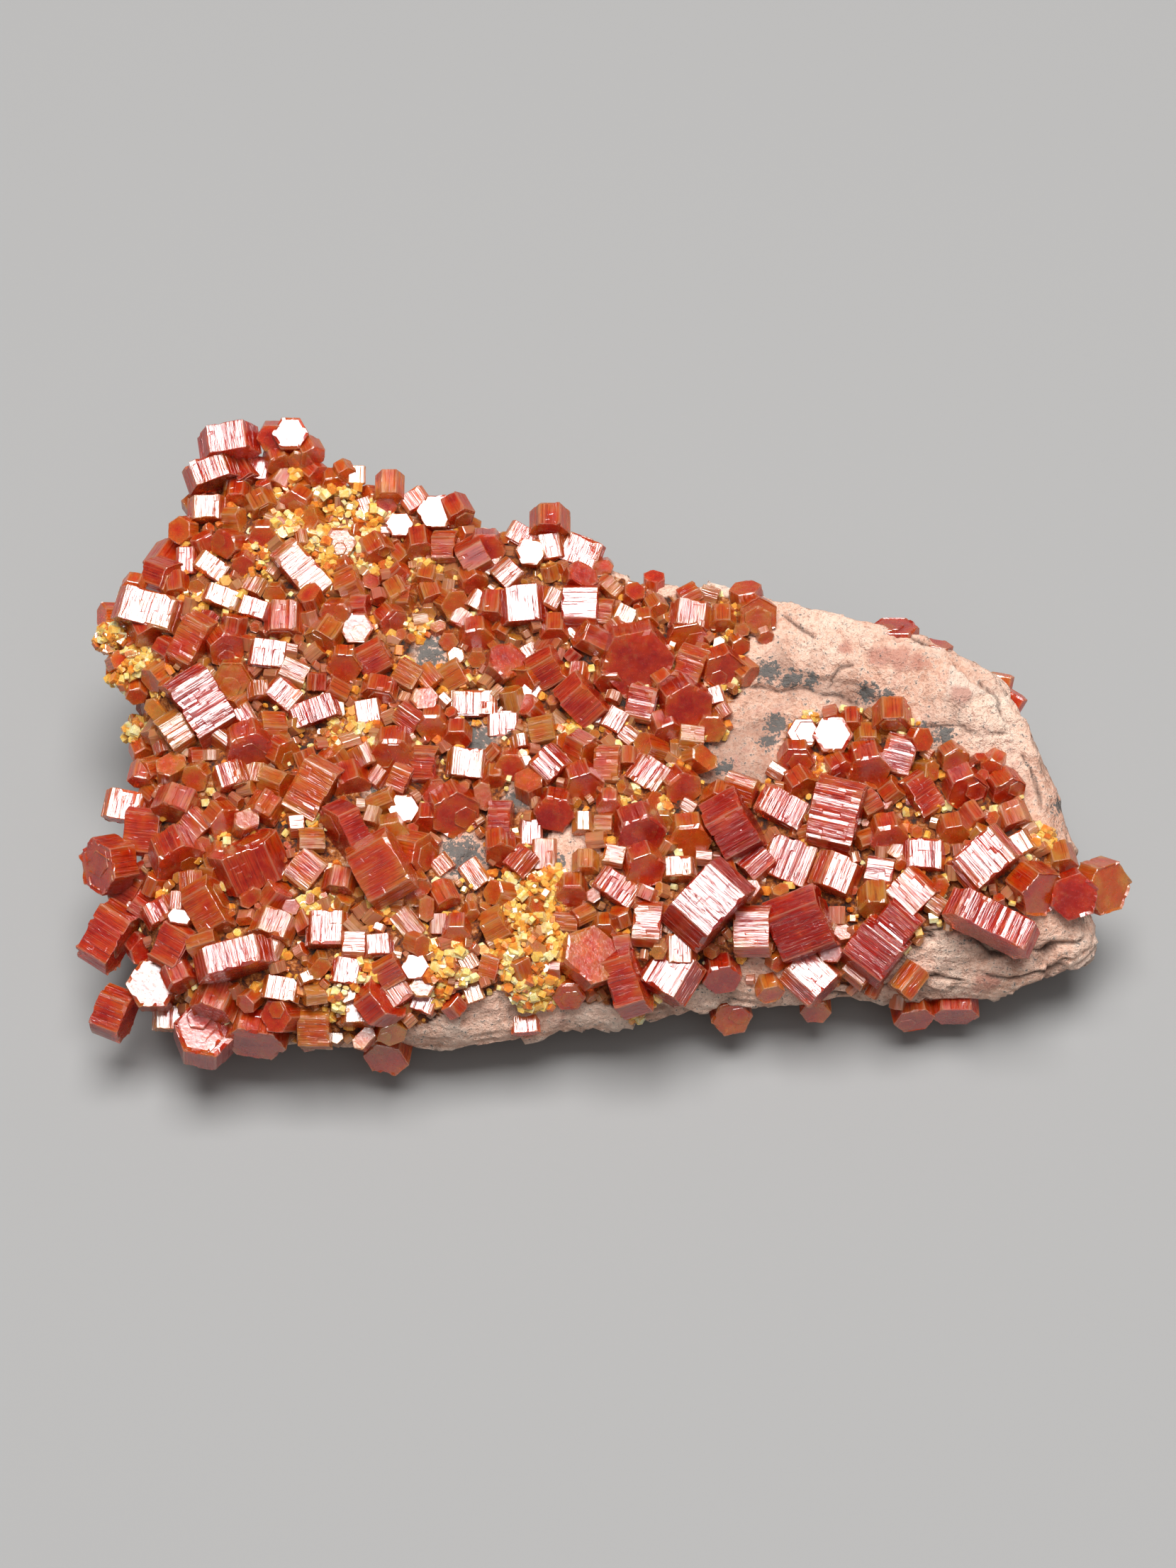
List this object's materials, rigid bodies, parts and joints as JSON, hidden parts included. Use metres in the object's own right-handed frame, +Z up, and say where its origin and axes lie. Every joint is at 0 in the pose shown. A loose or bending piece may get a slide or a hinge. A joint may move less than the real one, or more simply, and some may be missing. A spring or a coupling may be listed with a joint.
{
  "type": "mineral specimen",
  "caption": "Wedge of pale rock crusted on its upper side with stout red-orange six-sided vanadinite crystals, a loose display specimen.",
  "frame": {"origin": "middle of the bounding box, on the ground plane that the flat of the rock rests on", "axes": "+X along the specimen towards its bare tapering end, +Y to the raised back, +Z up"},
  "size_m": [0.0982, 0.0604, 0.0284],
  "materials": {
    "rock": "rough pale pink-buff rock with dark specks",
    "vanadinite": "lustrous translucent orange-red crystal faces"
  },
  "bodies": {
    "root": {"matrix": "rock", "crystals_front_middle_1": "vanadinite", "crystals_centre_right_1": "vanadinite", "crystals_front_left_1": "vanadinite", "crystals_front_left_2": "vanadinite", "crystals_centre_middle_1": "vanadinite", "crystals_centre_left_1": "vanadinite", "crystals_front_left_3": "vanadinite", "crystals_back_left_1": "vanadinite", "crystals_front_right_1": "vanadinite", "crystals_front_right_2": "vanadinite", "crystals_front_left_4": "vanadinite", "crystals_back_middle_1": "vanadinite", "crystals_front_left_5": "vanadinite", "crystals_centre_middle_2": "vanadinite", "crystals_back_middle_2": "vanadinite", "crystals_centre_left_2": "vanadinite", "crystals_front_right_3": "vanadinite", "crystals_back_left_2": "vanadinite", "crystals_front_left_6": "vanadinite", "crystals_back_middle_3": "vanadinite", "crystals_back_left_3": "vanadinite", "crystals_front_right_4": "vanadinite", "crystals_centre_left_3": "vanadinite", "crystals_centre_middle_3": "vanadinite", "crystals_centre_left_4": "vanadinite", "crystals_centre_left_5": "vanadinite", "crystals_back_right_1": "vanadinite", "crystals_centre_middle_4": "vanadinite", "crystals_front_left_7": "vanadinite", "crystals_front_middle_2": "vanadinite", "crystals_back_left_4": "vanadinite", "crystals_back_left_5": "vanadinite", "crystals_back_left_6": "vanadinite", "crystals_back_middle_4": "vanadinite", "crystals_front_left_8": "vanadinite", "crystals_back_right_2": "vanadinite", "crystals_centre_middle_5": "vanadinite", "crystals_centre_left_6": "vanadinite", "crystals_centre_right_2": "vanadinite", "crystals_front_middle_3": "vanadinite", "crystals_back_middle_5": "vanadinite", "crystals_back_left_7": "vanadinite", "crystals_back_left_8": "vanadinite", "crystals_front_left_9": "vanadinite", "crystals_back_left_9": "vanadinite", "crystals_back_left_10": "vanadinite", "crystals_back_left_11": "vanadinite", "crystals_front_middle_4": "vanadinite", "crystals_front_left_10": "vanadinite", "crystals_back_left_12": "vanadinite", "crystals_back_middle_6": "vanadinite", "crystals_front_left_11": "vanadinite", "crystals_back_left_13": "vanadinite", "crystals_centre_right_3": "vanadinite", "crystals_front_middle_5": "vanadinite", "crystals_centre_middle_6": "vanadinite", "crystals_front_middle_6": "vanadinite", "crystals_back_middle_7": "vanadinite", "crystals_centre_left_7": "vanadinite"}
  },
  "joints": []
}
